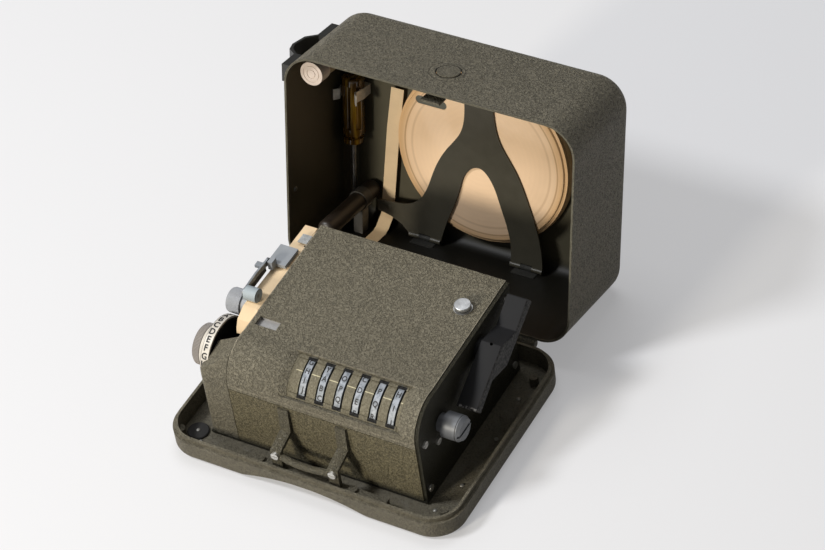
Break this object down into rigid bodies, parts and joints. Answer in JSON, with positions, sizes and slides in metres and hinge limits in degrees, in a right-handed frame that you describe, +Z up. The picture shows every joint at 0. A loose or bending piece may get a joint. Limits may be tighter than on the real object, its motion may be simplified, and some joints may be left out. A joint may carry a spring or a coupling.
{
  "type": "cipher machine",
  "caption": "Portable pin-and-lug cipher machine in a two-part steel case, lid open, with turning drum, lettered key wheels, printer, counter and tape reel.",
  "frame": {"origin": "centre of the case's flat underside", "axes": "+X towards the drive handle, +Y towards the lid hinge, +Z up"},
  "size_m": [0.1936, 0.2456, 0.1531],
  "materials": {
    "case_paint": "wrinkle paint, worn at the edges",
    "body_paint": "smooth satin paint",
    "plate_steel": "brushed",
    "bright_steel": "polished",
    "cream_paint": "smooth gloss paint",
    "tape_paper": "matte",
    "wheel_metal": "satin",
    "gear_brass": "machined",
    "black_moulding": "moulded, worn",
    "disc_white": "smooth",
    "knob_beige": "finely knurled",
    "knob_grey": "finely ribbed",
    "amber": "clear amber",
    "soft_rubber": "matte",
    "roller_rubber": "matte",
    "window": "clear",
    "black_paint": "satin",
    "blue_steel": "satin"
  },
  "bodies": {
    "base": {"base_tray": "case_paint", "can_pad": "soft_rubber", "base_hinge_leaves": "case_paint", "right_side_plate": "body_paint", "left_side_plate": "body_paint", "bearing_plates": "plate_steel", "chassis": "body_paint", "lower_front": "body_paint", "left_shoulder": "body_paint", "cover_hinge_pin": "plate_steel", "keeper": "body_paint", "machine_screws": "bright_steel", "tape_guide": "blue_steel", "paper_tape": "tape_paper", "inlet_clip": "bright_steel", "counter_yoke": "plate_steel"},
    "lid": {"lid_shell": "case_paint", "lid_hinge_leaves": "case_paint", "strap_loop": "black_paint", "reel_spindle": "plate_steel", "bracket_hinges": "plate_steel", "lid_tape": "tape_paper", "can_cap": "cream_paint", "ink_can": "case_paint", "screwdriver_grip": "amber", "screwdriver_blade": "bright_steel", "oil_tube": "black_moulding", "lid_clips": "plate_steel"},
    "lock": {"lock_button": "plate_steel"},
    "reel": {"reel_front_dish": "cream_paint", "reel_back_dish": "cream_paint", "tape_roll": "tape_paper"},
    "bracket": {"reel_bracket": "blue_steel"},
    "cover": {"top_cover": "body_paint", "button_collar": "plate_steel", "counter_window": "window"},
    "button": {"push_button": "bright_steel"},
    "drum": {"drum_cage": "wheel_metal", "slide_bars": "plate_steel", "drum_gear": "gear_brass"},
    "handle": {"drive_handle": "black_moulding", "drive_shaft": "plate_steel"},
    "wheel_spindle": {"wheel_shaft": "plate_steel", "reset_knob": "knob_grey"},
    "indicator": {"indicating_disc": "disc_white", "indicator_knob": "knob_beige", "type_wheel": "plate_steel"},
    "feed": {"feed_roller": "roller_rubber", "feed_knob": "knob_grey"},
    "arm": {"pressure_arm": "plate_steel"},
    "press_roller": {"pressure_roller": "roller_rubber"},
    "units": {"counter_units": "disc_white"},
    "tens": {"counter_tens": "disc_white"},
    "hundreds": {"counter_hundreds": "disc_white"},
    "wheel_1": {"key_wheel_1": "wheel_metal"},
    "wheel_2": {"key_wheel_2": "wheel_metal"},
    "wheel_3": {"key_wheel_3": "wheel_metal"},
    "wheel_4": {"key_wheel_4": "wheel_metal"},
    "wheel_5": {"key_wheel_5": "wheel_metal"},
    "wheel_6": {"key_wheel_6": "wheel_metal"}
  },
  "joints": [
    {"name": "lid_hinge", "type": "hinge", "parent": "base", "child": "lid", "pos_m": [0, 0.0735, 0.0125], "axis": [1, 0, 0], "range_deg": [0, 103.29]},
    {"name": "lock_push", "type": "slide", "parent": "lid", "child": "lock", "axis": [0, -0.2299, -0.9732], "range_m": [0, 0.0012], "stiffness_N_per_m": 1000, "springref_m": -0.002},
    {"name": "reel_spin", "type": "hinge", "parent": "lid", "child": "reel", "pos_m": [0.002, 0.15384, 0.06596], "axis": [0, 0.9732, -0.2299], "continuous": true},
    {"name": "bracket_hinge", "type": "hinge", "parent": "lid", "child": "bracket", "pos_m": [0, 0.13412, 0.00424], "axis": [-1, 0, 0], "range_deg": [-40, 0]},
    {"name": "cover_hinge", "type": "hinge", "parent": "base", "child": "cover", "pos_m": [0, 0.0575, 0.0655], "axis": [1, 0, 0], "range_deg": [-75, 0]},
    {"name": "button_push", "type": "slide", "parent": "cover", "child": "button", "axis": [0, 0, -1], "range_m": [0, 0.0014], "stiffness_N_per_m": 800, "springref_m": -0.002},
    {"name": "drum_spin", "type": "hinge", "parent": "base", "child": "drum", "pos_m": [0, 0.0215, 0.03925], "axis": [1, 0, 0], "continuous": true},
    {"name": "handle_spin", "type": "hinge", "parent": "base", "child": "handle", "pos_m": [0, 0.0215, 0.05725], "axis": [1, 0, 0], "continuous": true},
    {"name": "wheel_1_spin", "type": "hinge", "parent": "base", "child": "wheel_1", "pos_m": [0, -0.026, 0.0452], "axis": [1, 0, 0], "continuous": true},
    {"name": "wheel_2_spin", "type": "hinge", "parent": "base", "child": "wheel_2", "pos_m": [0, -0.026, 0.0452], "axis": [1, 0, 0], "continuous": true},
    {"name": "wheel_3_spin", "type": "hinge", "parent": "base", "child": "wheel_3", "pos_m": [0, -0.026, 0.0452], "axis": [1, 0, 0], "continuous": true},
    {"name": "wheel_4_spin", "type": "hinge", "parent": "base", "child": "wheel_4", "pos_m": [0, -0.026, 0.0452], "axis": [1, 0, 0], "continuous": true},
    {"name": "wheel_5_spin", "type": "hinge", "parent": "base", "child": "wheel_5", "pos_m": [0, -0.026, 0.0452], "axis": [1, 0, 0], "continuous": true},
    {"name": "wheel_6_spin", "type": "hinge", "parent": "base", "child": "wheel_6", "pos_m": [0, -0.026, 0.0452], "axis": [1, 0, 0], "continuous": true},
    {"name": "spindle_spin", "type": "hinge", "parent": "base", "child": "wheel_spindle", "pos_m": [0, -0.026, 0.0452], "axis": [1, 0, 0], "continuous": true},
    {"name": "indicator_spin", "type": "hinge", "parent": "base", "child": "indicator", "pos_m": [0, -0.0253, 0.0461], "axis": [1, 0, 0], "continuous": true},
    {"name": "feed_spin", "type": "hinge", "parent": "base", "child": "feed", "pos_m": [0, -0.0022, 0.0628], "axis": [1, 0, 0], "continuous": true},
    {"name": "arm_hinge", "type": "hinge", "parent": "base", "child": "arm", "pos_m": [0, 0.022, 0.0743], "axis": [1, 0, 0], "range_deg": [-35, 0], "stiffness_Nm_per_rad": 0.05, "springref_deg": 28.65},
    {"name": "press_roller_spin", "type": "hinge", "parent": "arm", "child": "press_roller", "pos_m": [0, -0.0032, 0.0737], "axis": [1, 0, 0], "continuous": true},
    {"name": "units_spin", "type": "hinge", "parent": "base", "child": "units", "pos_m": [0, -0.0161, 0.05952], "axis": [1, 0, 0], "continuous": true},
    {"name": "tens_spin", "type": "hinge", "parent": "base", "child": "tens", "pos_m": [0, -0.0161, 0.05952], "axis": [1, 0, 0], "continuous": true},
    {"name": "hundreds_spin", "type": "hinge", "parent": "base", "child": "hundreds", "pos_m": [0, -0.0161, 0.05952], "axis": [1, 0, 0], "continuous": true}
  ],
  "couplings": [
    {"joint": "handle_spin", "follows": "drum_spin", "ratio": -1},
    {"joint": "wheel_1_spin", "follows": "drum_spin", "ratio": 0.038462},
    {"joint": "wheel_2_spin", "follows": "drum_spin", "ratio": 0.04},
    {"joint": "wheel_3_spin", "follows": "drum_spin", "ratio": 0.043478},
    {"joint": "wheel_4_spin", "follows": "drum_spin", "ratio": 0.047619},
    {"joint": "wheel_5_spin", "follows": "drum_spin", "ratio": 0.052632},
    {"joint": "wheel_6_spin", "follows": "drum_spin", "ratio": 0.058824},
    {"joint": "units_spin", "follows": "drum_spin", "ratio": 0.1},
    {"joint": "tens_spin", "follows": "drum_spin", "ratio": 0.01},
    {"joint": "hundreds_spin", "follows": "drum_spin", "ratio": 0.001},
    {"joint": "press_roller_spin", "follows": "feed_spin", "ratio": -1.4762}
  ]
}
